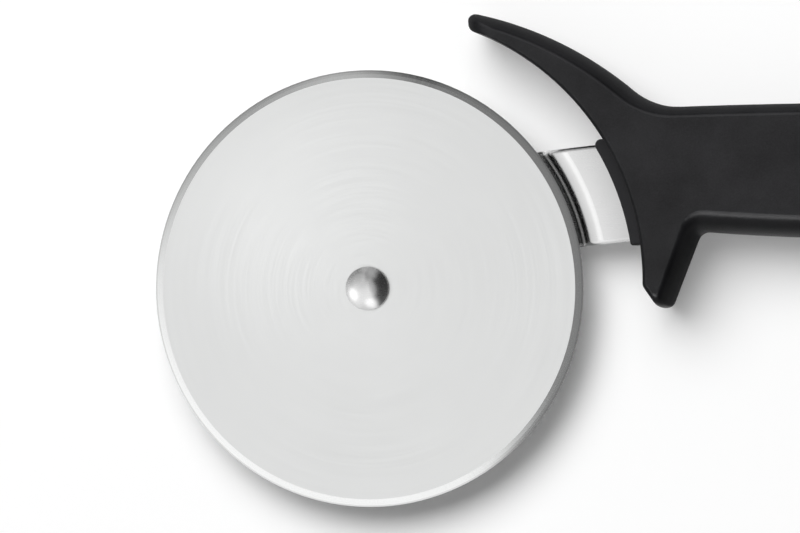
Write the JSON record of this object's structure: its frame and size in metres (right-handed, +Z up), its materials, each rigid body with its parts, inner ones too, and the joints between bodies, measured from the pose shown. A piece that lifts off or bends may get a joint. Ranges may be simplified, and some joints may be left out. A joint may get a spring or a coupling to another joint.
{
  "type": "pizza cutter",
  "caption": "Pizza cutter: a bevelled round blade turns on a riveted axle at the end of a stepped steel arm, held in a moulded handle with a thumb guard and a finger guard.",
  "frame": {"origin": "on the lower flat side of the handle, under the middle of the grip; the cutter lies on that side", "axes": "+X along the handle from the blade to the butt, +Y towards the thumb guard, +Z up along the axle to the rivet's domed head"},
  "size_m": [0.2361, 0.1144, 0.019],
  "materials": {
    "blade_steel": "fine satin face with a ground edge",
    "rivet_steel": "polished stainless steel",
    "arm_steel": "polished stainless steel",
    "bearing_plastic": "natural acetal",
    "core_plastic": "smooth black polypropylene",
    "handle_plastic": "finely grained black polypropylene"
  },
  "bodies": {
    "handle": {"handle_grip": "handle_plastic", "tang_core": "core_plastic", "arm": "arm_steel", "axle_rivet": "rivet_steel", "burr_washer": "rivet_steel", "front_washer": "bearing_plastic", "rear_washer": "bearing_plastic"},
    "wheel": {"blade_disc": "blade_steel", "hub_bush": "bearing_plastic"}
  },
  "joints": [
    {"name": "blade_spin", "type": "hinge", "parent": "handle", "child": "wheel", "pos_m": [-0.128, -0.0271, 0.0095], "axis": [0, 0, 1], "continuous": true}
  ]
}
